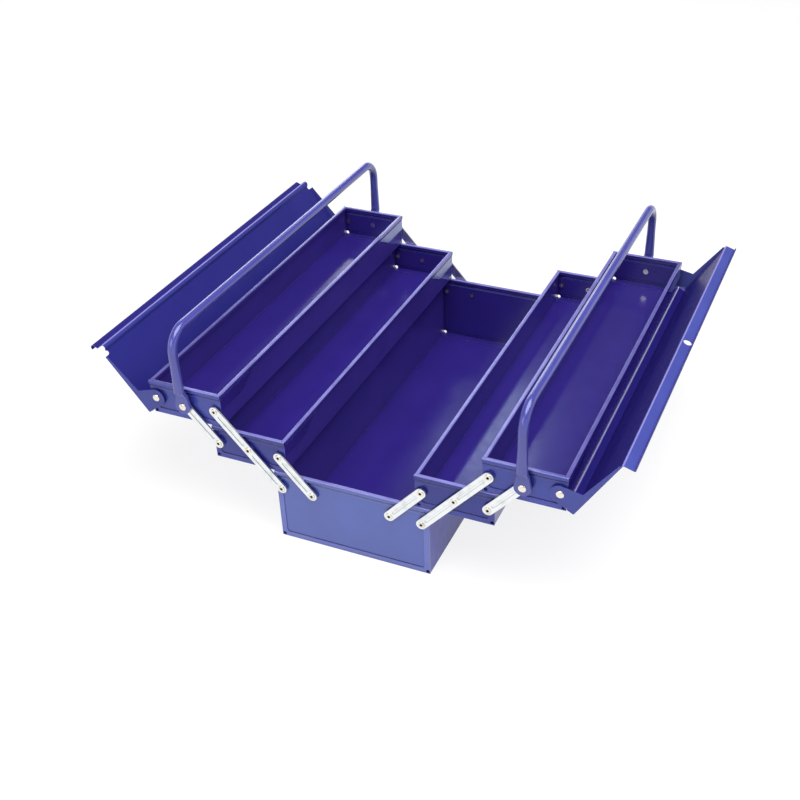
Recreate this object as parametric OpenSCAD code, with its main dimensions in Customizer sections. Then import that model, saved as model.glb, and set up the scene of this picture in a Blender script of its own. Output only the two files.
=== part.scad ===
// Cantilever tool box, opened: a base, two pairs of trays that step outwards on
// riveted links, a folding lid and a bent-tube handle on each upper tray.
// The origin is under the middle of the base. X runs across the box, Y along it, Z up.

/* [Base] */
// Length of the box between the outer faces of its end panels
body_l = 525; // [420:5:640]
// Width of the base across its long walls
base_w = 200; // [184:1:230]
// Height of the base to the top of its rim
base_h = 100; // [85:1:130]
// Thickness of the sheet steel
sheet_t = 1; // [0.8:0.1:1.2]
// Outside radius of a fold in the sheet
fold_r = 1.6; // [1.3:0.1:2]

/* [Trays] */
// Height of a tray to the top of its rim
tray_h = 45.5; // [42:0.5:55]
// Gap between the two stacks of trays when they are folded in
centre_gap = 6; // [5:0.5:9]
// Step from a base wall in to the wall of a folded tray
side_step = 1; // [0:0.5:3]
// Gap under a tray, above the rim that it stands on
rest_gap = 0.5; // [0.3:0.1:0.8]

/* [Rims] */
// Width of a folded rim
rim_w = 5; // [4.5:0.5:6]
// Height of a folded rim
rim_h = 6; // [5:0.5:7]
// Distance that a rim stands proud of its wall
rim_proud = 1.5; // [1.2:0.1:2]
// Outside radius of the folds in a rim
rim_fold_r = 1.4; // [1.3:0.1:1.6]

/* [End panels] */
// Depth of the field pressed into an end panel
field_d = 0.8; // [0.5:0.1:0.9]
// Width of the plain border round a pressed field
field_border = 7; // [6.5:0.5:9]
// Corner radius of a pressed field
field_r = 4; // [2:0.5:6]
// Height of the plain band between a pressed field and the rim
field_drop = 4; // [2:0.5:6]
// Length of a tab that wraps a panel's corner
tab_l = 78; // [60:1:90]
// Height of a corner tab
tab_h = 15.5; // [12:0.5:20]
// Slant of a corner tab's free end
tab_slant = 28; // [16:1:32]
// Radius of a corner tab's lower end
tab_r = 12; // [6:1:16]
// Length of the flange that rests on the floor
floor_flange_l = 12; // [8:1:16]
// Radius of the relief holes in the bottom corners
corner_hole_r = 2.4; // [2:0.1:2.6]
// Width of metal left outside a corner hole
corner_edge = 0.6; // [0.5:0.1:1]
// Length of a corner hole in from the end of the box
corner_depth = 4; // [3:0.5:6]
// Radius of the flat seat left round each rivet
seat_r = 6; // [5.5:0.5:6.5]

/* [Links] */
// Distance from a tray wall to its nearest pivot
pivot_inset = 7; // [6.5:0.5:9]
// Width of a link
link_w = 13; // [11:0.5:14]
// Thickness of a link
link_t = 2; // [1.6:0.1:2.5]
// Gap between a rim and the links that swing past it
link_gap = 0.4; // [0.3:0.1:0.6]
// Width of the groove pressed along a link
groove_w = 3; // [2:0.5:4]
// Depth of the groove pressed along a link
groove_d = 0.5; // [0.3:0.1:0.7]
// Clear length between a groove and the rivet heads
groove_end = 9; // [8:0.5:11]

/* [Rivets] */
// Radius of a rivet's shank
rivet_r = 2.5; // [2:0.1:2.8]
// Radial clearance of a rivet in its holes
rivet_play = 0.06; // [0.03:0.01:0.09]
// Gap along a rivet on each side of what turns on it
side_play = 0.05; // [0.03:0.01:0.1]
// Radius of the shoulder that holds a link off its panel
shoulder_r = 4; // [3.5:0.1:4.5]
// Radius of a hollow rivet's head
eye_head_r = 4.3; // [3.8:0.1:4.8]
// Height of a hollow rivet's head
eye_head_t = 0.9; // [0.6:0.1:1.2]
// Radius of a hollow rivet's eye
eye_r = 1.7; // [1.3:0.1:1.8]
// Width of the flat round a hollow rivet's eye
eye_flat = 0.4; // [0.2:0.1:0.6]
// Radius of a domed rivet's head
dome_head_r = 4.8; // [4.2:0.1:5.4]
// Height of a domed rivet's head
dome_head_t = 1.8; // [1.4:0.1:2.2]
// Thickness of a rivet's tail inside its panel
tail_t = 1; // [0.8:0.1:1.4]

/* [Lids] */
// Angle that the open left lid has turned from closed
left_open = 125; // [118:1:128]
// Angle that the open right lid has turned from closed
right_open = 120; // [112:1:124]
// Gap between an open lid's skirt and the tray wall that stops it
stop_gap = 0.4; // [0.3:0.1:0.8]
// Gap between a closed lid's skirt and the tray's rim
skirt_gap = 2.5; // [2:0.5:4]
// Gap between a tray's rim and the closed lid above it
roof_gap = 1.75; // [1.5:0.25:3]
// Slope of a closed lid's roof
roof_slope = 1.9; // [1:0.1:3]
// Distance from the middle of the box to a closed lid's flange
flange_x = 10.5; // [10:0.5:14]
// Distance from the foot of a flange back to where the left lid's roof turns down into its bead
bead_in = 2.5; // [2:0.5:3]
// Width of the slope down into the bead
bead_w = 8; // [7.5:0.5:9]
// Depth of that slope
bead_d = 6.5; // [6:0.25:6.75]
// Radius of the bead, on the outside of the lid
bead_r = 3; // [2.5:0.25:3.25]
// Height of the left lid's flange, up from its bead
left_flange_h = 15; // [14:0.5:15]
// Lean of the left lid's flange away from the middle
left_lean = 5; // [4:1:8]
// Width of the strip that the left lid's flange folds over into
left_strip = 7.5; // [6:0.5:7.5]
// Rise of that strip towards the middle
strip_rise = 31; // [26:1:34]
// Width of each of the two folds in the hem along the left lid's strip
hem_w = 3.5; // [3:0.25:3.5]
// Turn of each of the two folds in that hem
hem_turn = 70; // [60:1:75]
// Distance that the left lid's bead, flange and strip stop short of the lid's ends
flange_short = 6; // [5:0.5:8]
// Radius of the reliefs between the bead and the ends of the roof
relief_r = 3; // [2.5:0.5:4]
// Height of the right lid's padlock flange
right_flange_h = 15; // [14:0.5:17]
// Lean of the right lid's flange towards the middle
right_lean = 12; // [6:1:14]
// Turn from the right lid's flange into its lip
lip_turn = 116; // [105:1:125]
// Width of the right lid's lip
right_lip = 4.5; // [3.5:0.5:5]
// Width of flat metal left above and below the padlock hole
padlock_edge = 0.35; // [0.3:0.05:1]
// Depth of the strip folded down along a lid's ends, beside the ear
strip_h = 8; // [7:0.5:9]
// Depth of that strip at its end beside the flange
strip_end_h = 2.5; // [2:0.5:4]
// Distance from the hinge in to the notch of a lid's ear
ear_notch = 18; // [16:1:22]
// Length of the right lid left plain between an end strip and the flange
strip_short = 3; // [2:0.5:8]

/* [Handles] */
// Distance from a handle's rivets to the middle of its bar
handle_reach = 101; // [100:1:112]
// Radius of the handle tube
tube_r = 5.75; // [5.25:0.25:6]
// Radius of the handle's bends, to the middle of the tube
bend_r = 27; // [20:1:34]
// Radius of the flattened foot round its rivet
foot_r = 10; // [9:0.5:12]
// Thickness of the flattened foot
foot_t = 4; // [3:0.25:5]
// Height of the flat part of the foot above its rivet
foot_flat = 16; // [13:1:20]
// Height of the step from the flat foot to the leg
foot_step = 6; // [4:1:10]
// Width of a leg just above its foot
leg_w = 13.5; // [12:0.5:16]
// Depth of a leg just above its foot
leg_d = 8.5; // [7:0.5:10]
// Gap between a handle's foot and the link under it
foot_gap = 0.15; // [0.1:0.05:0.3]

/* [Hidden] */

$fn = 48;
fold_steps = 4;
round_steps = 10;
dome_steps = 5;
cut_over = 1;

// Turn of the sheet where a rim leaves its wall
rim_turn = 45;

// Where pieces are joined, one reaches into the other by joint_in, and is smaller by joint_inset
joint_in = 1;
joint_inset = 0.1;

paint = [0.22, 0.20, 0.55];
paint_light = [0.40, 0.42, 0.72];
zinc = [0.86, 0.87, 0.86];
rivet_steel = [0.72, 0.68, 0.58];

// Trays folded in stand side by side over the base, so their width follows from it
tray_w = base_w / 2 - side_step - centre_gap / 2;
end_y = body_l / 2;
pitch_x = tray_w / 2 - pivot_inset;
pitch_z = tray_h + rest_gap;

// Height of the floor of each level, and of its row of pivots
mid_z = base_h + rest_gap;
upper_z = mid_z + pitch_z;
base_pivot_z = base_h - tray_h / 2;
mid_pivot_z = base_pivot_z + pitch_z;
upper_pivot_z = mid_pivot_z + pitch_z;

// Pivots step outwards by the same pitch from level to level
pivot_1 = centre_gap / 2 + pivot_inset + pitch_x;
pivot_2 = pivot_1 + pitch_x;
pivot_3 = pivot_2 + pitch_x;
pivot_4 = pivot_3 + pitch_x;
pivot_5 = pivot_4 + pitch_x;
hinge_x = pivot_5 + pitch_x;

base_pivots = [pivot_1, pivot_2];
mid_pivots = [pivot_2, pivot_3, pivot_4];
upper_pivots = [pivot_4, pivot_5, hinge_x];

// Layers outside an end panel: links and lid ears run in the first, handle feet in the second
layer_1 = rim_proud + link_gap;
foot_y = layer_1 + link_t + foot_gap;
leg_y = end_y + foot_y + tube_r;

// Lid profile round its hinge, as the lid lies when closed
skirt_x = pivot_inset + rim_proud + skirt_gap + sheet_t;
roof_z = tray_h / 2 + roof_gap + sheet_t;
closed_hinge_x = centre_gap / 2 + tray_w - pivot_inset;
roof_corner = [skirt_x, roof_z];
flange_foot = roof_at(flange_x - closed_hinge_x);
ear_r = skirt_x - sheet_t / 2;

// An open lid's skirt stops against the tray wall, so its depth follows from the angle
function skirt_z(open) = (pivot_inset + stop_gap - skirt_x * cos(open)) / sin(open);
function towards(angle) = [cos(angle), sin(angle)];

// Point of a closed lid's roof at the given distance across it
function roof_at(x) = [x, roof_z + (skirt_x - x) * tan(roof_slope)];

bead_start = roof_at(flange_foot[0] + bead_in);
bead_foot = roof_at(bead_start[0] - bead_w) - [0, bead_d];
left_flange_top = bead_foot + left_flange_h * towards(90 - left_lean);
strip_edge = left_flange_top + left_strip * towards(180 - strip_rise);
hem_top = strip_edge + hem_w * towards(180 - strip_rise - hem_turn);
hem_end = hem_top + hem_w * towards(180 - strip_rise - 2 * hem_turn);
right_flange_top = flange_foot + right_flange_h * towards(90 + right_lean);
lip_end = right_flange_top + right_lip * towards(90 + right_lean + lip_turn);

// The padlock hole fills the flat of the right flange, between the folds at its foot and its lip
flat_from = fold_r * tan((90 - roof_slope - right_lean) / 2);
flat_to = right_flange_h - fold_r * tan(lip_turn / 2);
padlock_h = (flat_from + flat_to) / 2;
padlock_r = (flat_to - flat_from) / 2 - padlock_edge;

// Folded sheet: a path along the outer face, with round folds, made into a strip of even thickness
function unit(v) = v / norm(v);
function left_of(v) = [-v[1], v[0]];
function reversed(list) = [for (i = [len(list) - 1 : -1 : 0]) list[i]];
function turn_between(u, v) = atan2(u[0] * v[1] - u[1] * v[0], u * v);

// A path's folds all have the radius r, or each its own where r is a list
function radius_at(r, i) = is_list(r) ? r[i] : r;
function steps_of(r) = r > fold_r ? round_steps : fold_steps;

// Points of the arc of radius r that rounds the corner b of the path a, b, c
function fold_arc(a, b, c, r) =
  let (
    u = unit(a - b),
    v = unit(c - b),
    half = acos(u * v) / 2,
    centre = b + unit(u + v) * r / sin(half),
    from = b + u * r / tan(half) - centre,
    sweep = turn_between(from, b + v * r / tan(half) - centre)
  )
  [
    for (i = [0 : steps_of(r)])
      let (t = sweep * i / steps_of(r))
      centre + [from[0] * cos(t) - from[1] * sin(t), from[0] * sin(t) + from[1] * cos(t)]
  ];

function folded(path, r) = concat(
  [path[0]],
  [for (i = [1 : len(path) - 2]) each fold_arc(path[i - 1], path[i], path[i + 1], radius_at(r, i - 1))],
  [path[len(path) - 1]]
);

// The path moved to its left by the distance d
function beside(path, d) = [
  for (i = [0 : len(path) - 1])
    let (
      before = left_of(unit(path[max(i, 1)] - path[max(i, 1) - 1])),
      after = left_of(unit(path[min(i, len(path) - 2) + 1] - path[min(i, len(path) - 2)])),
      mitre = unit(before + after)
    )
    path[i] + mitre * d / (mitre * before)
];

module sheet_section(path, r = fold_r) {
  outer = folded(path, r);
  polygon(concat(outer, reversed(beside(outer, sheet_t))));
}

// A section drawn in X and Z, made as long as given along Y
module along_y(length) {
  rotate([90, 0, 0])
    linear_extrude(height = length, center = true)
      children();
}

// A section drawn in Y and Z, made as long as given along X
module along_x(length) {
  rotate([90, 0, 90])
    linear_extrude(height = length, center = true)
      children();
}

// A flat outline drawn in X and Z, from y0 outwards by the thickness t
module plate_at(y0, t) {
  translate([0, y0 + t, 0])
    rotate([90, 0, 0])
      linear_extrude(height = t)
        children();
}

module rounded_square(size, r) {
  for (x = [-1, 1], y = [-1, 1])
    translate([x * (size[0] / 2 - r), y * (size[1] / 2 - r)])
      circle(r);
  square([size[0] - 2 * r, size[1]], center = true);
  square([size[0], size[1] - 2 * r], center = true);
}

// Rim path from the top of a wall, whose outer face is at w, up and over to its inner leg
function rim_path(w, h) = [
  [w, h - rim_h],
  [w + rim_proud, h - rim_h + rim_proud],
  [w + rim_proud, h],
  [w + rim_proud - rim_w, h],
  [w + rim_proud - rim_w, h - rim_h + rim_proud]
];

function mirrored(path) = [for (p = reversed(path)) [-p[0], p[1]]];

// Folded shell of a tray or the base: floor, long walls and rims
module shell(w, h) {
  right_half = concat([[w / 2, 0]], rim_path(w / 2, h));
  difference() {
    along_y(body_l - 2 * sheet_t)
      sheet_section(concat(mirrored(right_half), right_half), rim_fold_r);
    at_both_ends()
      corner_holes(w);
  }
}

// Relief holes in the bottom corners at the rear end
module corner_holes(w) {
  inset = corner_edge + corner_hole_r;
  for (s = [-1, 1])
    translate([s * (w / 2 - inset), end_y, inset])
      rotate([90, 0, 0])
        cylinder(r = corner_hole_r, h = 2 * corner_depth, center = true);
}

// End panel at the rear: a pressed field, a folded rim, tabs round its corners and a floor flange
module end_panel(w, h, pivots, pivot_h) {
  field_h = h - rim_h - field_drop - field_border;
  field_z = field_border + field_h / 2;
  inner_y = end_y - sheet_t;
  difference() {
    union() {
      plate_at(inner_y, sheet_t)
        translate([-w / 2, 0])
          square([w, h - 1.5 * rim_h]);
      translate([0, end_y - field_d - sheet_t, field_z])
        plate_at(0, field_d + sheet_t)
          rounded_square([w - 2 * field_border + 2 * sheet_t, field_h + 2 * sheet_t], field_r + sheet_t);
      end_rim(w, h);
      for (s = [-1, 1])
        corner_tab(s, w, h);
      translate([0, inner_y + (sheet_t - floor_flange_l) / 2, 1.5 * sheet_t])
        cube([w - 2 * (fold_r + sheet_t), floor_flange_l + sheet_t, sheet_t], center = true);
    }
    translate([0, 0, field_z])
      plate_at(end_y - field_d, field_d + cut_over)
        difference() {
          rounded_square([w - 2 * field_border, field_h], field_r);
          for (x = pivots)
            translate([x, pivot_h - field_z])
              circle(seat_r);
        }
    for (x = pivots)
      translate([x, end_y, pivot_h])
        rivet_hole(sheet_t + field_d);
    corner_holes(w);
  }
}

// Hole for a rivet's shank, through metal of the thickness t on either side of where it is put
module rivet_hole(t) {
  rotate([90, 0, 0])
    cylinder(r = rivet_r + rivet_play, h = 2 * (t + cut_over), center = true);
}

// Rim of an end panel: over the corners outside the shell's end, between the long rims inside it
module end_rim(w, h) {
  between_rims = w + 2 * (rim_proud - rim_w);
  over_corners = w + 2 * rim_proud;
  intersection() {
    along_x(over_corners)
      translate([end_y, 0])
        sheet_section(concat([[0, h - 2 * rim_h]], rim_path(0, h)), rim_fold_r);
    union() {
      translate([-over_corners / 2, end_y - sheet_t, h - rim_h])
        cube([over_corners, 2 * rim_w, 2 * rim_h]);
      translate([-between_rims / 2, end_y - rim_w, h - rim_h])
        cube([between_rims, 2 * rim_w, 2 * rim_h]);
      translate([-w / 2, end_y - sheet_t, h - 2 * rim_h])
        cube([w, 2 * rim_w, rim_h]);
    }
  }
}

// Tab folded from a panel round the corner, against the outside of a long wall
module corner_tab(s, w, h) {
  top = h - rim_h - rim_fold_r * tan(rim_turn / 2);
  root = [end_y, top - tab_h];
  tip = [end_y - tab_l, top];
  translate([s * (w / 2 + sheet_t / 2), 0, 0])
    along_x(sheet_t)
      polygon(concat(
        [[end_y, top], tip],
        fold_arc(tip, tip + [tab_slant, -tab_h], root, tab_r),
        [root]
      ));
}

// Rivet through a rear panel, outwards along Y from the panel's inner face; grip is what turns on it
module rivet(grip, head_r, head_t, hollow) {
  panel_in = -field_d - sheet_t;
  head_y = layer_1 + grip + side_play;
  dome = [
    for (i = [0 : dome_steps])
      let (a = 90 * i / dome_steps)
      [eye_edge(hollow) + (head_r - eye_edge(hollow)) * cos(a), head_y + head_t * sin(a)]
  ];
  bore = hollow ? [[eye_r, head_y + head_t], [eye_r, panel_in - tail_t]] : [[0, panel_in - tail_t]];
  rotate([-90, 0, 0])
    rotate_extrude()
      polygon(concat(
        [
          [shoulder_r, panel_in - tail_t],
          [shoulder_r, panel_in],
          [rivet_r, panel_in],
          [rivet_r, 0],
          [shoulder_r, 0],
          [shoulder_r, layer_1 - side_play],
          [rivet_r, layer_1 - side_play],
          [rivet_r, head_y]
        ],
        dome,
        bore
      ));
}

function eye_edge(hollow) = hollow ? eye_r + eye_flat : 0;

module hollow_rivet() {
  rivet(link_t, eye_head_r, eye_head_t, true);
}

module domed_rivet(grip) {
  rivet(grip, dome_head_r, dome_head_t, false);
}

// What stands at the rear end, made again at the front end
module at_both_ends() {
  children();
  mirror([0, 1, 0])
    children();
}

// A flat bar with round ends through the given pivots, grooved between them
module link(from, to, holes) {
  reach = norm(to - from);
  lean = atan2(to[1] - from[1], to[0] - from[0]);
  pitch = reach / (holes - 1);
  groove_l = pitch - 2 * groove_end;
  difference() {
    plate_at(end_y + layer_1, link_t)
      translate(from)
        rotate(lean)
          difference() {
            union() {
              translate([0, -link_w / 2])
                square([reach, link_w]);
              for (x = [0, reach])
                translate([x, 0])
                  circle(link_w / 2);
            }
            for (i = [0 : holes - 1])
              translate([i * pitch, 0])
                circle(rivet_r + rivet_play);
          }
    plate_at(end_y + layer_1 + link_t - groove_d, groove_d + cut_over)
      translate(from)
        rotate(lean)
          for (i = [0 : holes - 2])
            translate([i * pitch + groove_end, 0]) {
              translate([0, -groove_w / 2])
                square([groove_l, groove_w]);
              for (x = [0, groove_l])
                translate([x, 0])
                  circle(groove_w / 2);
            }
  }
}

module lower_link() {
  color(zinc)
    link([pivot_1, base_pivot_z], [pivot_2, mid_pivot_z], 2);
}

module long_link() {
  color(zinc)
    link([pivot_2, base_pivot_z], [pivot_4, upper_pivot_z], 3);
}

module upper_link() {
  color(zinc)
    link([pivot_4, mid_pivot_z], [pivot_5, upper_pivot_z], 2);
}

// Lid on the right, turned open round its hinge; edge is its path from the end of the roof on, r the
// radius of its folds, and strip_x the place where its end strips stop
module lid(open, edge, r, strip_x) {
  ear_y = end_y + layer_1;
  color(paint)
    translate([hinge_x, 0, upper_pivot_z])
      rotate([0, open, 0])
        difference() {
          union() {
            along_y(2 * (ear_y + sheet_t))
              sheet_section(concat([[skirt_x, skirt_z(open)], roof_corner], edge), r);
            at_both_ends()
              plate_at(ear_y, sheet_t)
                ear_outline(strip_x);
          }
          at_both_ends()
            translate([0, ear_y, 0])
              rivet_hole(sheet_t);
          children();
        }
}

// Left lid: a bead, a flange and a strip with a rolled hem, all cut back at the lid's ends
module left_lid() {
  cut_y = end_y + layer_1 + sheet_t - flange_short;
  cut_x = bead_start[0] + 2 * relief_r;
  cut_w = cut_x - strip_edge[0] + hem_w;
  edge = [bead_start, bead_foot, left_flange_top, strip_edge, hem_top, hem_end];
  on_left()
    lid(left_open, edge, [fold_r, fold_r, bead_r, fold_r, fold_r, fold_r], cut_x - relief_r)
      at_both_ends() {
        translate([cut_x - cut_w, cut_y, bead_foot[1] - sheet_t])
          cube([cut_w, flange_short + cut_over, 2 * (left_flange_h + left_strip)]);
        translate([cut_x - relief_r, cut_y, bead_start[1]])
          cylinder(r = relief_r - joint_inset, h = 2 * relief_r, center = true);
      }
}

// Right lid: a padlock flange with a lip
module right_lid() {
  hole_at = flange_foot + padlock_h * towards(90 + right_lean);
  lid(right_open, [flange_foot, right_flange_top, lip_end], fold_r, flange_foot[0] + strip_short)
    translate([hole_at[0], 0, hole_at[1]])
      rotate([0, 90 - right_lean, 0])
        cylinder(r = padlock_r, h = 2 * (sheet_t + cut_over), center = true);
}

// End of a lid: an ear round the hinge rivet and a strip under the roof, as far as strip_x
module ear_outline(strip_x) {
  strip_top = roof_at(strip_x);
  notch = roof_at(-ear_notch) - [0, strip_h];
  tangent = atan2(notch[1], notch[0]) + acos(ear_r / norm(notch));
  circle(ear_r);
  polygon(concat(
    [[0, 0]],
    beside(folded([[skirt_x, 0], roof_corner, strip_top], fold_r), sheet_t / 2),
    [
      strip_top - [0, strip_end_h],
      notch,
      (ear_r - joint_inset) * towards(tangent)
    ]
  ));
}

// Handle on the right, upright: a bent tube whose ends are flattened into riveted feet
module handle() {
  color(paint)
    translate([pivot_5, 0, upper_pivot_z]) {
      translate([0, 0, handle_reach])
        rotate([90, 0, 0])
          cylinder(r = tube_r, h = 2 * (leg_y - bend_r), center = true);
      at_both_ends()
        handle_end();
    }
}

module handle_end() {
  leg_foot = foot_flat + foot_step;
  leg_top = handle_reach - bend_r;
  tube_end = leg_top - 2 * tube_r;
  side = [leg_w / 2, foot_flat];
  tangent = atan2(side[1], side[0]) - acos(foot_r / norm(side));
  difference() {
    plate_at(end_y + foot_y, foot_t) {
      circle(foot_r);
      polygon([
        [0, 0],
        (foot_r - joint_inset) * towards(tangent),
        side,
        [-side[0], side[1]],
        (foot_r - joint_inset) * towards(180 - tangent)
      ]);
    }
    translate([0, end_y + foot_y, 0])
      rivet_hole(foot_t);
  }
  hull() {
    translate([joint_inset - leg_w / 2, end_y + foot_y + joint_inset, foot_flat - joint_in])
      cube([leg_w - 2 * joint_inset, foot_t - 2 * joint_inset, joint_in]);
    leg_section(leg_foot, joint_inset);
  }
  hull() {
    leg_section(leg_foot, 0);
    translate([0, leg_y, tube_end])
      cylinder(r = tube_r - joint_inset, h = joint_in);
  }
  translate([0, leg_y, tube_end])
    cylinder(r = tube_r, h = leg_top - tube_end);
  translate([0, leg_y - bend_r, leg_top])
    rotate([90, 0, 90])
      rotate_extrude(angle = 90)
        translate([bend_r, 0])
          circle(tube_r);
}

// Flattened section of a leg just above its foot, smaller all round by the inset
module leg_section(z, inset) {
  for (s = [-1, 1])
    translate([s * (leg_w - leg_d) / 2, leg_y, z])
      cylinder(r = leg_d / 2 - inset, h = joint_in, $fn = 32);
}

// Left-hand pieces are the right-hand ones mirrored across the box
module on_left() {
  mirror([1, 0, 0])
    children();
}

module at_front() {
  mirror([0, 1, 0])
    children();
}

module base_shell() {
  color(paint)
    shell(base_w, base_h);
}

module base_end() {
  color(paint_light)
    end_panel(base_w, base_h, concat(base_pivots, -base_pivots), base_pivot_z);
}

module base_rivets() {
  color(rivet_steel)
    for (x = concat(base_pivots, -base_pivots))
      at_both_ends()
        translate([x, end_y, base_pivot_z])
          hollow_rivet();
}

module mid_shell() {
  color(paint)
    translate([pivot_3, 0, mid_z])
      shell(tray_w, tray_h);
}

module mid_end() {
  color(paint_light)
    translate([pivot_3, 0, mid_z])
      end_panel(tray_w, tray_h, [for (x = mid_pivots) x - pivot_3], tray_h / 2);
}

module mid_rivets() {
  color(rivet_steel)
    for (x = mid_pivots)
      at_both_ends()
        translate([x, end_y, mid_pivot_z])
          hollow_rivet();
}

module upper_shell() {
  color(paint)
    translate([pivot_5, 0, upper_z])
      shell(tray_w, tray_h);
}

module upper_end() {
  color(paint_light)
    translate([pivot_5, 0, upper_z])
      end_panel(tray_w, tray_h, [for (x = upper_pivots) x - pivot_5], tray_h / 2);
}

module upper_rivets() {
  color(rivet_steel)
    at_both_ends()
      translate([pivot_4, end_y, upper_pivot_z])
        hollow_rivet();
}

module hinge_rivets() {
  color(rivet_steel)
    at_both_ends()
      translate([hinge_x, end_y, upper_pivot_z])
        domed_rivet(sheet_t);
}

module handle_rivets() {
  color(rivet_steel)
    at_both_ends()
      translate([pivot_5, end_y, upper_pivot_z])
        domed_rivet(link_t + foot_gap + foot_t);
}

base_shell();
at_front() base_end();  // base_end_front
base_end();  // base_end_rear
base_rivets();

on_left() mid_shell();  // left_mid_shell
on_left() at_front() mid_end();  // left_mid_end_front
on_left() mid_end();  // left_mid_end_rear
on_left() mid_rivets();  // left_mid_rivets
mid_shell();  // right_mid_shell
at_front() mid_end();  // right_mid_end_front
mid_end();  // right_mid_end_rear
mid_rivets();  // right_mid_rivets

on_left() upper_shell();  // left_upper_shell
on_left() at_front() upper_end();  // left_upper_end_front
on_left() upper_end();  // left_upper_end_rear
on_left() upper_rivets();  // left_upper_rivets
upper_shell();  // right_upper_shell
at_front() upper_end();  // right_upper_end_front
upper_end();  // right_upper_end_rear
upper_rivets();  // right_upper_rivets

on_left() at_front() lower_link();  // left_lower_link_front
on_left() lower_link();  // left_lower_link_rear
on_left() at_front() long_link();  // left_long_link_front
on_left() long_link();  // left_long_link_rear
on_left() at_front() upper_link();  // left_upper_link_front
on_left() upper_link();  // left_upper_link_rear
at_front() lower_link();  // right_lower_link_front
lower_link();  // right_lower_link_rear
at_front() long_link();  // right_long_link_front
long_link();  // right_long_link_rear
at_front() upper_link();  // right_upper_link_front
upper_link();  // right_upper_link_rear

left_lid();
on_left() hinge_rivets();  // left_hinge_rivets
right_lid();
hinge_rivets();  // right_hinge_rivets
on_left() handle();  // left_handle
on_left() handle_rivets();  // left_handle_rivets
handle();  // right_handle
handle_rivets();  // right_handle_rivets
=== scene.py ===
import math

import bmesh
import bpy
from mathutils import Matrix, Vector

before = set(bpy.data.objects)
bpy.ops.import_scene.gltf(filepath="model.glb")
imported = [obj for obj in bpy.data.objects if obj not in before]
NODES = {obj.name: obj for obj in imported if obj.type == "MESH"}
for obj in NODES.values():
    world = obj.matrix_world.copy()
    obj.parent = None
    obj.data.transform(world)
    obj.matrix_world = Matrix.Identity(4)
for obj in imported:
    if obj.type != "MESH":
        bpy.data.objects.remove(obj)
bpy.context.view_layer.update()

scene = bpy.context.scene
scene.view_settings.view_transform = "Standard"


# Places on the trays at rest, from the frame, in metres

def node_box(name):
    """Lowest and highest place of a node along each axis."""
    along = list(zip(*NODES[name].bound_box))
    return Vector([min(values) for values in along]), Vector([max(values) for values in along])


# How far a rim stands out from its wall
RIM_PROUD = 0.0015

# Underside and rim of each level, outside of the end panels and outside of the base's right wall
SHELLS = {"base": "base_shell", "mid": "left_mid_shell", "upper": "left_upper_shell"}
UNDERSIDES = {level: node_box(shell)[0].z for level, shell in SHELLS.items()}
RIM_TOPS = {level: node_box(shell)[1].z for level, shell in SHELLS.items()}
END_FACE = node_box("base_end_rear")[1].y - RIM_PROUD
BASE_WALL_FACE = node_box("base_shell")[1].x - RIM_PROUD

# Paint colours, linear
PAINT = (0.028, 0.016, 0.196)
# random darker tone, and painted shade: in corners and creases, along the field's foot and under the rims
PAINT_MOTTLE_AND_SHADE = (0.012, 0.006, 0.105)
# painted light: paler walls that face right
PAINT_LIT_SIDE = (0.052, 0.032, 0.285)
# painted light: paler outside of the base's right wall
PAINT_LIT_BASE_SIDE = (0.075, 0.080, 0.460)
# painted light: paler outsides of the end panels, set one by one for each level
PAINT_LIT_OUTSIDE = {
    "base": (0.047, 0.080, 0.390),
    "mid": (0.018, 0.022, 0.228),
    "upper": (0.038, 0.050, 0.330),
}
# painted light: paler border round the pressed field, also a painted highlight along its top, set one by
# one for each level
PAINT_LIT_BORDER = {
    "base": (0.095, 0.125, 0.470),
    "mid": (0.032, 0.040, 0.280),
    "upper": (0.050, 0.062, 0.370),
}
# painted highlight on the tabs at the rear panels' corners
PAINT_TAB_HIGHLIGHT = (0.170, 0.215, 0.520)
# painted highlight: on the rim tops, on the left lid's bead crown, and on the right lid's foot, skirt and
# rear fold
PAINT_HIGHLIGHT = (0.215, 0.210, 0.540)
# paler sharp edges: partly wear, partly a painted highlight
PAINT_EDGE_WEAR_AND_HIGHLIGHT = (0.130, 0.130, 0.470)
PAINT_HANDLE = (0.066, 0.066, 0.330)
PAINT_LEFT_LID = (0.024, 0.023, 0.195)
# painted shade: the right lid darker than the left
PAINT_SHADED_RIGHT_LID = (0.018, 0.013, 0.155)
# painted light: paler padlock flange on the right lid
PAINT_LIT_FLANGE = (0.060, 0.075, 0.330)
# painted light: paler outsides of the lids' ears
PAINT_LIT_EAR = (0.085, 0.098, 0.345)
# painted light: paler bead on the left lid
PAINT_LIT_BEAD = (0.040, 0.043, 0.260)
# painted shade: darker strip outside the left lid's bead
PAINT_SHADED_STRIP = (0.022, 0.016, 0.170)

# Gloss of the paint: lowest and highest roughness, specular level, weight of the clear coat
GLOSS_FRONT = (0.15, 0.23, 0.85, 0.6)
GLOSS_TRAY_END = (0.20, 0.28, 0.50, 0.25)
GLOSS_SHELL = (0.17, 0.24, 0.60, 0.30)
GLOSS_HANDLE = (0.18, 0.25, 0.70, 0.40)
GLOSS_LID = (0.36, 0.46, 0.10, 0.0)
SPECULAR_TINT = (0.72, 0.80, 1.0, 1.0)
COAT_ROUGHNESS = 0.09
DULL_ROUGHNESS = 0.35

# Faint waves in the painted sheet, and in the drawn tube of the handles
WAVE_SCALE = 24.0
WAVE_DETAIL = 1.0
WAVE_DEPTH = 0.0006
SHEET_WAVE = 0.22
TUBE_WAVE = 0.04

# Metal colours, linear
ZINC = (0.80, 0.82, 0.83)
# darker tone of stains, also painted shade in creases and along edges
ZINC_STAIN_AND_SHADE = (0.30, 0.31, 0.31)
BRASS = (0.78, 0.74, 0.65)
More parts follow.
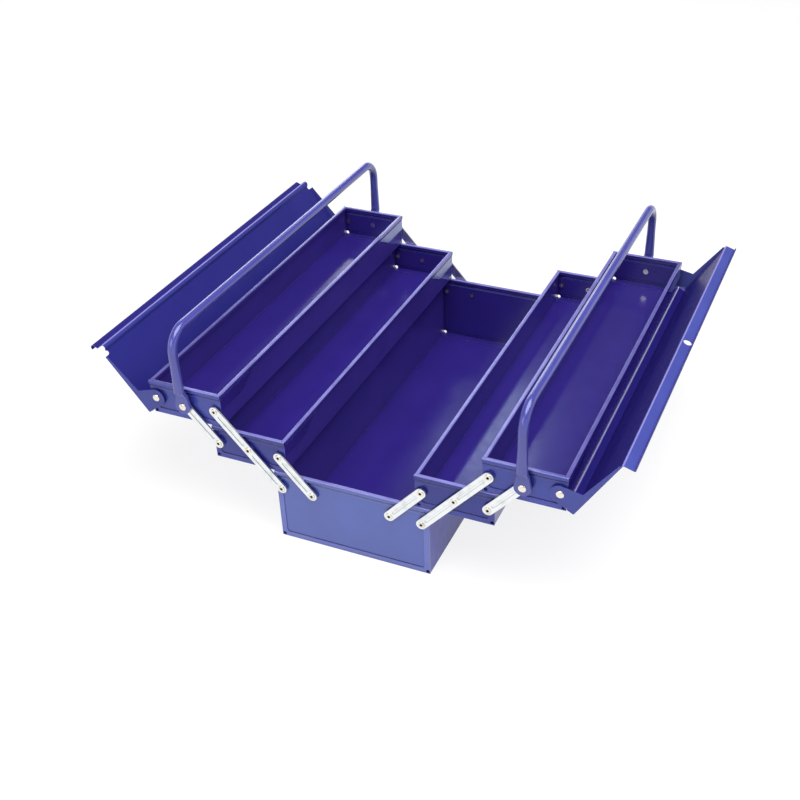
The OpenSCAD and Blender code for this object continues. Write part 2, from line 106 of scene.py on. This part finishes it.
# darker tone of stains, also painted shade in creases and along edges
BRASS_STAIN_AND_SHADE = (0.13, 0.08, 0.04)

# Roughness of the metal, and its brushed lines: scale, depth, and the roughness they take off and add
LINK_ROUGHNESS = 0.34
RIVET_ROUGHNESS = 0.17
BRUSH_SCALE = 400.0
BRUSH_DETAIL = 2.0
BRUSH_STRENGTH = 0.10
BRUSH_DEPTH = 0.00003
BRUSH_LIMITS = (0.25, 0.75)
BRUSH_ROUGHNESS = (-0.06, 0.08)
ALONG_Y = (1.0, 0.06, 1.0)
NO_BRUSH = (1.0, 1.0, 1.0)

# Noise: its scale and detail, and the reach that its limits are brought to
# patches of the painted highlight on the rims
RIM_HIGHLIGHT_PATCHES = {"scale": 35.0, "detail": 2.0, "limits": (0.25, 0.7), "reach": (0.65, 1.0)}
# patches of the paler edges, partly wear and partly a painted highlight
EDGE_WEAR_AND_HIGHLIGHT = {"scale": 60.0, "detail": 2.0, "limits": (0.3, 0.65), "reach": (0.35, 0.9)}
MOTTLE = {"scale": 16.0, "detail": 3.0, "limits": (0.3, 0.7), "reach": (0.0, 0.16)}
STAINS = {"scale": 90.0, "detail": 4.0, "limits": (0.45, 0.75), "reach": (0.0, 0.30)}
POLISH = {"scale": 90.0, "detail": 3.0, "limits": (0.25, 0.75)}

# Edges and corners: radius or reach in metres, and the share of the colour that they take; corners take
# painted shade, and the metal's edges take painted shade too
PAINT_EDGE_RADIUS = 0.0007
PAINT_CORNER_REACH = 0.007
PAINT_CORNER_SHARE = 0.55
METAL_EDGE_RADIUS = 0.0006
METAL_EDGE_SHARE = 0.65
METAL_CORNER_SHARE = 0.85
LINK_CORNER_REACH = 0.003
RIVET_CORNER_REACH = 0.006

# Limits of the masks, from nothing to full, and the rays that find edges and corners
EDGE_LIMITS = (0.985, 0.86)
EDGE_SAMPLES = 6
CORNER_LIMITS = (0.85, 0.25)
CORNER_SAMPLES = 8
FACING_SIDE = (0.6, 0.9)
FACING_END = (0.15, 0.75)
FACING_EAR = (0.5, 0.9)
FACING_UP = (0.25, 0.70)

# Ways that faces point: right along X, and each end along Y
TO_THE_RIGHT = (1.0, 0.0, 0.0)
ENDS = {"front": -1.0, "rear": 1.0}

# Rims: depths below the top where the painted highlight starts and is full, and the weaker painted
# highlight on the outermost rims
RIM_DEPTHS = (0.0022, 0.0012)
OUTERMOST = (0.225, 0.235)
OUTERMOST_SHARE = 0.5

# Pressed field of an end panel: depths behind the panel's face, and heights from the rim and the
# underside; last, the depths below the rim's top of the painted shade under the rim
BORDER_DEPTHS = (-0.0007, 0.0004)
FIELD_DEPTHS = (0.0004, 0.0020)
FIELD_BELOW_RIM = 0.010
FIELD_ABOVE_UNDERSIDE = 0.007
FIELD_LINE = 0.0012
BORDER_GAP = 0.0005
BORDER_SPARE = 0.001
RIM_SHADE_DEPTHS = (0.0079, 0.0062)

# Zones at rest, in metres, that take painted light and painted shade; the base's side also takes a duller
# gloss
ZONE_SOFTNESS = 0.0002
BASE_SIDE_DEPTH = 0.0008
BASE_SIDE_SPARE = 0.0020
BASE_SIDE = {"x": (BASE_WALL_FACE - BASE_SIDE_DEPTH, BASE_WALL_FACE + BASE_SIDE_SPARE)}
# painted light on the left lid's bead, a painted highlight on its crown, and painted shade on the strip
LEFT_BEAD = {"x": (-0.3315, -0.3233), "z": (0.2183, 0.2300)}
LEFT_CROWN_HIGHLIGHT = {"x": (-0.3285, -0.3265), "z": (0.2235, 0.2300)}
LEFT_STRIP = {"x": (-0.3425, -0.3355), "z": (0.2190, 0.2240)}
# painted light on the right lid's flange, and painted highlights along its foot, the skirt and the rear
# fold
RIGHT_FLANGE = {"x": (0.3222, 0.3340), "z": (0.2218, 0.2275)}
RIGHT_FOOT = {"x": (0.3196, 0.3222), "z": (0.2245, 0.2275)}
RIGHT_SKIRT = {"x": (0.2630, 0.2645), "z": (0.1505, 0.1530)}
RIGHT_REAR_FOLD = {"x": (0.2640, 0.2725), "y": (0.2632, 0.2650), "z": (0.1470, 0.1530)}

# Studio: a round floor with a cove and a low wall, in metres, and its whites
FLOOR_RADIUS = 5.0
COVE_RADIUS = 1.0
WALL_HEIGHT = 2.0
FLOOR_DROP = 0.0003
FLOOR_STEPS = 96
COVE_STEPS = 8
LIGHTING_WHITE = 0.82
SEEN_WHITE = 0.22
SEEN_GLOW = 0.84
SKY_COLOUR = (0.95, 0.97, 1.0, 1.0)
SKY_STRENGTH = 0.14

# Camera, from a perspective fit of the photo, in metres, millimetres of sensor and pixels
AZIMUTH = math.radians(23.24)
ELEVATION = math.radians(33.85)
ROLL = math.radians(-1.18)
DISTANCE = 1.58243
TARGET = Vector((0.00923, -0.00515, 0.07748))
SENSOR = 36.0
IMAGE_PX = 800.0
FOCAL_PX = 1170.7
CENTRE_PX = (441.82, 393.10)
NEAREST = 0.01
FARTHEST = 50.0


# Node helpers

def is_socket(value):
    return isinstance(value, bpy.types.NodeSocket)


def feed(tree, socket, value):
    """Link a socket to another one, or set its value."""
    if is_socket(value):
        tree.links.new(value, socket)
    else:
        socket.default_value = value


def new_tree(name):
    """An empty node material with its output."""
    material = bpy.data.materials.new(name)
    material.use_nodes = True
    tree = material.node_tree
    tree.nodes.clear()
    output = tree.nodes.new("ShaderNodeOutputMaterial")
    return material, tree, output


def new_material(name):
    """A node material with a plain shader."""
    material, tree, output = new_tree(name)
    shader = tree.nodes.new("ShaderNodeBsdfPrincipled")
    tree.links.new(shader.outputs["BSDF"], output.inputs["Surface"])
    return material, tree, shader


def add(tree, kind, inputs=None, **settings):
    """A new node with its settings, and with its inputs linked or set."""
    node = tree.nodes.new(kind)
    for key, value in settings.items():
        setattr(node, key, value)
    for key, value in (inputs or {}).items():
        feed(tree, node.inputs[key], value)
    return node


def maths(tree, operation, first, second):
    node = add(tree, "ShaderNodeMath", {0: first, 1: second}, operation=operation)
    return node.outputs[0]


def times(tree, first, second):
    return maths(tree, "MULTIPLY", first, second)


def unsigned(tree, value):
    """A value without its sign."""
    return maths(tree, "ABSOLUTE", value, 0.0)


def dot(tree, first, second):
    """1 where two directions agree, 0 where they are square to each other."""
    node = add(tree, "ShaderNodeVectorMath", {0: first, 1: second}, operation="DOT_PRODUCT")
    return node.outputs["Value"]


def noise(tree, vector, scale, detail):
    node = add(tree, "ShaderNodeTexNoise", {"Vector": vector, "Scale": scale, "Detail": detail})
    return node.outputs["Fac"]


def between(tree, value, low, high, to_low=0.0, to_high=1.0):
    """Smooth step of a value from low to high."""
    limits = {"Value": value, "From Min": low, "From Max": high, "To Min": to_low, "To Max": to_high}
    node = add(tree, "ShaderNodeMapRange", limits, interpolation_type="SMOOTHSTEP")
    return node.outputs["Result"]


def clouds(tree, vector, scale, detail, limits, reach):
    """Noise whose limits are brought to the given reach."""
    return between(tree, noise(tree, vector, scale, detail), *limits, *reach)


def mix(tree, factor, under, over):
    """Mix of two colours; each is a socket or three numbers."""
    node = add(tree, "ShaderNodeMix", {0: factor}, data_type="RGBA")
    for key, colour in ((6, under), (7, over)):
        feed(tree, node.inputs[key], colour if is_socket(colour) else (*colour, 1.0))
    return node.outputs[2]


def grey(level):
    return (level, level, level, 1.0)


def axes(tree, vector):
    """The three parts of a vector."""
    node = add(tree, "ShaderNodeSeparateXYZ", {"Vector": vector})
    return node.outputs["X"], node.outputs["Y"], node.outputs["Z"]


def bump(tree, shader, height, strength, depth):
    """Unevenness of a shader's surface, with its depth in metres."""
    node = add(tree, "ShaderNodeBump", {"Height": height, "Strength": strength, "Distance": depth})
    tree.links.new(node.outputs["Normal"], shader.inputs["Normal"])


def edges(tree, radius):
    """1 along sharp edges, 0 on flats; the radius stays under the sheet's thickness."""
    bevel = add(tree, "ShaderNodeBevel", {"Radius": radius}, samples=EDGE_SAMPLES)
    flat = add(tree, "ShaderNodeNewGeometry")
    return between(tree, dot(tree, bevel.outputs["Normal"], flat.outputs["Normal"]), *EDGE_LIMITS)


def hollows(tree, reach):
    """1 deep in corners and creases, 0 in the open."""
    shade = add(tree, "ShaderNodeAmbientOcclusion", {"Distance": reach}, samples=CORNER_SAMPLES)
    return between(tree, shade.outputs["AO"], *CORNER_LIMITS)


def inside(tree, value, low, high):
    """1 where a value lies from low to high, with soft ends."""
    above = between(tree, value, low - ZONE_SOFTNESS, low + ZONE_SOFTNESS)
    return times(tree, above, between(tree, value, high + ZONE_SOFTNESS, high - ZONE_SOFTNESS))


# Marks: each is a function that gives a mask and a colour from the place and the normal at rest

def facing_mark(direction, limits, colour):
    """Paint on faces that point the given way."""
    def mark(tree, place, normal):
        return between(tree, dot(tree, normal, direction), *limits), colour
    return mark


def tab_highlight_mark():
    """Painted highlight: paler paint on the tabs that wrap an end panel's corners."""
    def mark(tree, place, normal):
        sideways = unsigned(tree, axes(tree, normal)[0])
        return between(tree, sideways, *FACING_SIDE), PAINT_TAB_HIGHLIGHT
    return mark


def zone_mark(zone, colour):
    """Paint in a zone, given as the lowest and highest place along some of the axes."""
    def mark(tree, place, normal):
        places = dict(zip("xyz", axes(tree, place)))
        factor = 1.0
        for axis, (low, high) in zone.items():
            factor = times(tree, factor, inside(tree, places[axis], low, high))
        return factor, colour
    return mark


def rim_highlight_mark(level):
    """Painted highlight: paler paint in patches on the top of a level's rims."""
    start, full = (RIM_TOPS[level] - depth for depth in RIM_DEPTHS)

    def mark(tree, place, normal):
        high = between(tree, axes(tree, place)[2], start, full)
        facing_up = between(tree, axes(tree, normal)[2], *FACING_UP)
        top = times(tree, high, facing_up)
        sideways = unsigned(tree, axes(tree, place)[0])
        outermost = between(tree, sideways, *OUTERMOST, 1.0, OUTERMOST_SHARE)
        highlight_and_wear = times(tree, top, clouds(tree, place, **RIM_HIGHLIGHT_PATCHES))
        return times(tree, highlight_and_wear, outermost), PAINT_HIGHLIGHT
    return mark


def field_marks(level, sign):
    """Painted light and shade round an end panel's pressed field: paler border beside and below it, a
    painted highlight along its top, and painted shade along its foot and under the rim."""
    border = sorted(sign * (END_FACE - depth) for depth in BORDER_DEPTHS)
    field = sorted(sign * (END_FACE - depth) for depth in FIELD_DEPTHS)
    foot = UNDERSIDES[level] + FIELD_ABOVE_UNDERSIDE
    top = RIM_TOPS[level] - FIELD_BELOW_RIM
    sides = (UNDERSIDES[level] - BORDER_SPARE, top - BORDER_GAP)
    under_rim = [RIM_TOPS[level] - depth for depth in RIM_SHADE_DEPTHS]
    return [
        zone_mark({"y": border, "z": sides}, PAINT_LIT_BORDER[level]),
        zone_mark({"y": field, "z": (top - FIELD_LINE, top)}, PAINT_LIT_BORDER[level]),
        zone_mark({"y": field, "z": (foot, foot + FIELD_LINE)}, PAINT_MOTTLE_AND_SHADE),
        zone_mark({"y": border, "z": under_rim}, PAINT_MOTTLE_AND_SHADE),
    ]


def ear_marks():
    """Painted light: paler paint on the outside of a lid's two ears."""
    return [facing_mark((0.0, sign, 0.0), FACING_EAR, PAINT_LIT_EAR) for sign in ENDS.values()]


# Materials

def finish_paint(tree, shader, place, gloss, wave, dull):
    """Gloss of the enamel: faint waves in the sheet, differences in polish and a clear coat."""
    low, high, specular, coat = gloss
    rough = clouds(tree, place, **POLISH, reach=(low, high))
    if dull is not None:
        rough = maths(tree, "ADD", rough, times(tree, dull, DULL_ROUGHNESS))
    tree.links.new(rough, shader.inputs["Roughness"])
    bump(tree, shader, noise(tree, place, WAVE_SCALE, WAVE_DETAIL), wave, WAVE_DEPTH)
    shader.inputs["Specular IOR Level"].default_value = specular
    shader.inputs["Specular Tint"].default_value = SPECULAR_TINT
    shader.inputs["Coat Weight"].default_value = coat
    shader.inputs["Coat Roughness"].default_value = COAT_ROUGHNESS


def paint_material(name, base, gloss, marks=(), late_marks=(), dull_mark=None, wave=SHEET_WAVE):
    """Violet-blue enamel on steel, with marks under and over the painted shade in its corners, and paler
    sharp edges that are partly wear and partly a painted highlight.
    """
    material, tree, shader = new_material(name)
    where = add(tree, "ShaderNodeTexCoord")
    place, normal = where.outputs["Object"], where.outputs["Normal"]
    colour = base
    for mark in marks:
        factor, paint = mark(tree, place, normal)
        colour = mix(tree, factor, colour, paint)
    colour = mix(tree, clouds(tree, place, **MOTTLE), colour, PAINT_MOTTLE_AND_SHADE)
    # painted shade: corners and creases darkened
    shade = times(tree, hollows(tree, PAINT_CORNER_REACH), PAINT_CORNER_SHARE)
    colour = mix(tree, shade, colour, PAINT_MOTTLE_AND_SHADE)
    for mark in late_marks:
        factor, paint = mark(tree, place, normal)
        colour = mix(tree, factor, colour, paint)
    # paler sharp edges: partly wear, partly a painted highlight
    highlight_and_wear = times(tree, edges(tree, PAINT_EDGE_RADIUS), clouds(tree, place, **EDGE_WEAR_AND_HIGHLIGHT))
    colour = mix(tree, highlight_and_wear, colour, PAINT_EDGE_WEAR_AND_HIGHLIGHT)
    tree.links.new(colour, shader.inputs["Base Color"])
    dull = dull_mark(tree, place, normal)[0] if dull_mark else None
    finish_paint(tree, shader, place, gloss, wave, dull)
    return material


def metal_material(name, bright, stain_and_shade, rough, brush, reach):
    """Plated metal, brushed along the given scale, with stains, and painted shade in its creases to the
    given reach and along its edges.
    """
    material, tree, shader = new_material(name)
    place = add(tree, "ShaderNodeTexCoord").outputs["Object"]
    stretched = add(tree, "ShaderNodeMapping", {"Vector": place, "Scale": brush})
    lines = noise(tree, stretched.outputs["Vector"], BRUSH_SCALE, BRUSH_DETAIL)
    colour = mix(tree, clouds(tree, place, **STAINS), bright, stain_and_shade)
    # painted shade in creases and along sharp edges
    colour = mix(tree, times(tree, hollows(tree, reach), METAL_CORNER_SHARE), colour, stain_and_shade)
    colour = mix(tree, times(tree, edges(tree, METAL_EDGE_RADIUS), METAL_EDGE_SHARE), colour, stain_and_shade)
    tree.links.new(colour, shader.inputs["Base Color"])
    low, high = (rough + change for change in BRUSH_ROUGHNESS)
    tree.links.new(between(tree, lines, *BRUSH_LIMITS, low, high), shader.inputs["Roughness"])
    bump(tree, shader, lines, BRUSH_STRENGTH, BRUSH_DEPTH)
    shader.inputs["Metallic"].default_value = 1.0
    return material


def shell_material(level):
    """Paint of a folded shell, with painted light that makes the walls facing right paler; the base's
    right wall is also dull, and paler still outside.
    """
    sides = [facing_mark(TO_THE_RIGHT, FACING_SIDE, PAINT_LIT_SIDE)]
    dull = None
    if level == "base":
        # painted light on the outside of the base's right wall, which is also made dull
        dull = zone_mark(BASE_SIDE, PAINT_LIT_BASE_SIDE)
        sides.append(dull)
    return paint_material(level + "_shell_paint", PAINT, GLOSS_SHELL, sides, [rim_highlight_mark(level)], dull)


def end_material(level, end):
    """Paint of an end panel, paler outside as painted light, with the painted light and shade round its
    pressed field, and on the rear panels a painted highlight on the tabs.
    """
    sign = ENDS[end]
    gloss = GLOSS_FRONT if level == "base" else GLOSS_TRAY_END
    # painted light on the outside faces
    marks = [facing_mark((0.0, sign, 0.0), FACING_END, PAINT_LIT_OUTSIDE[level])]
    marks += field_marks(level, sign)
    if end == "rear":
        marks.append(tab_highlight_mark())
    return paint_material(level + "_" + end + "_paint", PAINT, gloss, marks, [rim_highlight_mark(level)])


def left_lid_material():
    """Painted light on the bead, with a painted highlight along its crown, and painted shade on the strip
    outside it.
    """
    marks = [zone_mark(LEFT_BEAD, PAINT_LIT_BEAD), zone_mark(LEFT_STRIP, PAINT_SHADED_STRIP)] + ear_marks()
    crown_highlight = zone_mark(LEFT_CROWN_HIGHLIGHT, PAINT_HIGHLIGHT)
    return paint_material("left_lid_paint", PAINT_LEFT_LID, GLOSS_LID, marks, [crown_highlight])


def right_lid_material():
    """Painted light on the padlock flange, and painted highlights along its foot, along the skirt and on
    the rear fold, on a base darkened as painted shade.
    """
    marks = [zone_mark(RIGHT_FLANGE, PAINT_LIT_FLANGE)] + ear_marks()
    # painted highlights along the flange's foot, the skirt and the rear fold
    lines = [zone_mark(zone, PAINT_HIGHLIGHT) for zone in (RIGHT_FOOT, RIGHT_SKIRT, RIGHT_REAR_FOLD)]
    return paint_material("right_lid_paint", PAINT_SHADED_RIGHT_LID, GLOSS_LID, marks, lines)


def handle_material():
    return paint_material("handle_paint", PAINT_HANDLE, GLOSS_HANDLE, wave=TUBE_WAVE)


def link_material():
    return metal_material("bright_zinc", ZINC, ZINC_STAIN_AND_SHADE, LINK_ROUGHNESS, ALONG_Y, LINK_CORNER_REACH)


def rivet_material():
    return metal_material("rivet_plate", BRASS, BRASS_STAIN_AND_SHADE, RIVET_ROUGHNESS, NO_BRUSH, RIVET_CORNER_REACH)


def dress_nodes():
    """Give every CAD node its material, by the ending of the node's name."""
    materials = {
        "left_lid": left_lid_material(),
        "right_lid": right_lid_material(),
        "_handle": handle_material(),
        "_rivets": rivet_material(),
    }
    zinc = link_material()
    for end in ENDS:
        materials["_link_" + end] = zinc
    for level in SHELLS:
        materials[level + "_shell"] = shell_material(level)
        for end in ENDS:
            materials[level + "_end_" + end] = end_material(level, end)
    for name, node in NODES.items():
        ending = next(key for key in materials if name.endswith(key))
        node.data.materials.clear()
        node.data.materials.append(materials[ending])


# Studio

def studio_profile():
    """Radius and height along the floor, the cove and the wall, from the middle outwards."""
    cove_start = FLOOR_RADIUS - COVE_RADIUS
    profile = [(cove_start, 0.0)]
    for step in range(1, COVE_STEPS + 1):
        turn = math.radians(90 * step / COVE_STEPS)
        radius = cove_start + COVE_RADIUS * math.sin(turn)
        height = COVE_RADIUS - COVE_RADIUS * math.cos(turn)
        profile.append((radius, height))
    profile.append((FLOOR_RADIUS, WALL_HEIGHT))
    return profile


def studio_mesh():
    """The profile turned round the upright axis, closed at the middle."""
    mesh = bmesh.new()
    middle = mesh.verts.new((0.0, 0.0, 0.0))
    turns = [2 * math.pi * step / FLOOR_STEPS for step in range(FLOOR_STEPS)]
    rings = []
    for radius, height in studio_profile():
        places = [(radius * math.cos(turn), radius * math.sin(turn), height) for turn in turns]
        rings.append([mesh.verts.new(place) for place in places])
    pairs = [(step, (step + 1) % FLOOR_STEPS) for step in range(FLOOR_STEPS)]
    for this, following in pairs:
        mesh.faces.new((middle, rings[0][this], rings[0][following]))
    for inner, outer in zip(rings, rings[1:]):
        for this, following in pairs:
            mesh.faces.new((inner[this], outer[this], outer[following], inner[following]))
    data = bpy.data.meshes.new("studio")
    mesh.to_mesh(data)
    mesh.free()
    for polygon in data.polygons:
        polygon.use_smooth = True
    return data


def studio_material():
    """White that lights the object plainly; what is seen of it, also in gloss, has only a light shadow."""
    material, tree, output = new_tree("studio_white")
    material.cycles.emission_sampling = "NONE"
    path = tree.nodes.new("ShaderNodeLightPath")
    seen = maths(tree, "MAXIMUM", path.outputs["Is Camera Ray"], path.outputs["Is Glossy Ray"])
    seen = maths(tree, "MAXIMUM", seen, path.outputs["Is Transmission Ray"])
    plain = add(tree, "ShaderNodeBsdfDiffuse", {"Color": grey(LIGHTING_WHITE)})
    pale = add(tree, "ShaderNodeBsdfDiffuse", {"Color": grey(SEEN_WHITE)})
    glow = add(tree, "ShaderNodeEmission", {"Color": grey(1.0), "Strength": SEEN_GLOW})
    shown = add(tree, "ShaderNodeAddShader", {0: pale.outputs[0], 1: glow.outputs[0]})
    both = add(tree, "ShaderNodeMixShader", {0: seen, 1: plain.outputs[0], 2: shown.outputs[0]})
    tree.links.new(both.outputs[0], output.inputs["Surface"])
    return material


def studio():
    """A round white floor that curves up into a low wall."""
    made = bpy.data.objects.new("studio", studio_mesh())
    made.data.materials.append(studio_material())
    made.location.z = -FLOOR_DROP
    scene.collection.objects.link(made)


def studio_world():
    """Faint light from all round."""
    world = bpy.data.worlds.new("studio_world")
    scene.world = world
    world.use_nodes = True
    background = world.node_tree.nodes["Background"]
    background.inputs["Color"].default_value = SKY_COLOUR
    background.inputs["Strength"].default_value = SKY_STRENGTH


def area_light(name, place, aim, size, power, colour=(1.0, 1.0, 1.0)):
    """A flat lamp at a place, turned to its aim, with its size in metres and its power in watts."""
    data = bpy.data.lights.new(name, "AREA")
    data.shape = "RECTANGLE"
    data.size, data.size_y = size
    data.energy = power
    data.color = colour
    light = bpy.data.objects.new(name, data)
    light.location = place
    light.rotation_mode = "QUATERNION"
    light.rotation_quaternion = (Vector(aim) - Vector(place)).to_track_quat("-Z", "Y")
    scene.collection.objects.link(light)


def lights():
    """Three soft lamps, and a small bluish one that the tray floors mirror."""
    area_light("top_light", place=(0.6, -0.4, 2.45), aim=(0.0, 0.0, 0.1), size=(2.4, 2.0), power=92.0)
    area_light("front_light", place=(-0.8, -2.7, 1.6), aim=(0.0, -0.2, 0.1), size=(2.0, 1.2), power=22.0)
    area_light("back_light", place=(-1.9, 2.3, 1.15), aim=(0.0, 0.0, 0.15), size=(1.6, 0.9), power=13.0)
    area_light(
        "strip_light", place=(-0.62, 1.85, 1.64), aim=(0.117, -0.115, 0.10),
        size=(0.34, 0.38), power=1.2, colour=(0.72, 0.84, 1.0),
    )


# Camera

def camera_place():
    """Place and turn of the camera, which looks at the target."""
    forward = -Vector((
        math.sin(AZIMUTH) * math.cos(ELEVATION),
        -math.cos(AZIMUTH) * math.cos(ELEVATION),
        math.sin(ELEVATION),
    ))
    level = Vector((math.cos(AZIMUTH), math.sin(AZIMUTH), 0.0))
    upright = level.cross(forward)
    right = math.cos(ROLL) * level + math.sin(ROLL) * upright
    up = -math.sin(ROLL) * level + math.cos(ROLL) * upright
    place = TARGET - DISTANCE * forward
    return Matrix((
        (right.x, up.x, -forward.x, place.x),
        (right.y, up.y, -forward.y, place.y),
        (right.z, up.z, -forward.z, place.z),
        (0.0, 0.0, 0.0, 1.0),
    ))


def camera():
    """The photo's camera, with its optical centre off the middle of the picture."""
    data = bpy.data.cameras.new("camera")
    data.sensor_fit = "HORIZONTAL"
    data.sensor_width = SENSOR
    data.lens = FOCAL_PX / IMAGE_PX * SENSOR
    data.shift_x = (IMAGE_PX / 2 - CENTRE_PX[0]) / IMAGE_PX
    data.shift_y = (CENTRE_PX[1] - IMAGE_PX / 2) / IMAGE_PX
    data.clip_start = NEAREST
    data.clip_end = FARTHEST
    made = bpy.data.objects.new("camera", data)
    made.matrix_world = camera_place()
    scene.collection.objects.link(made)
    scene.camera = made


dress_nodes()
studio()
studio_world()
lights()
camera()

bpy.context.view_layer.update()
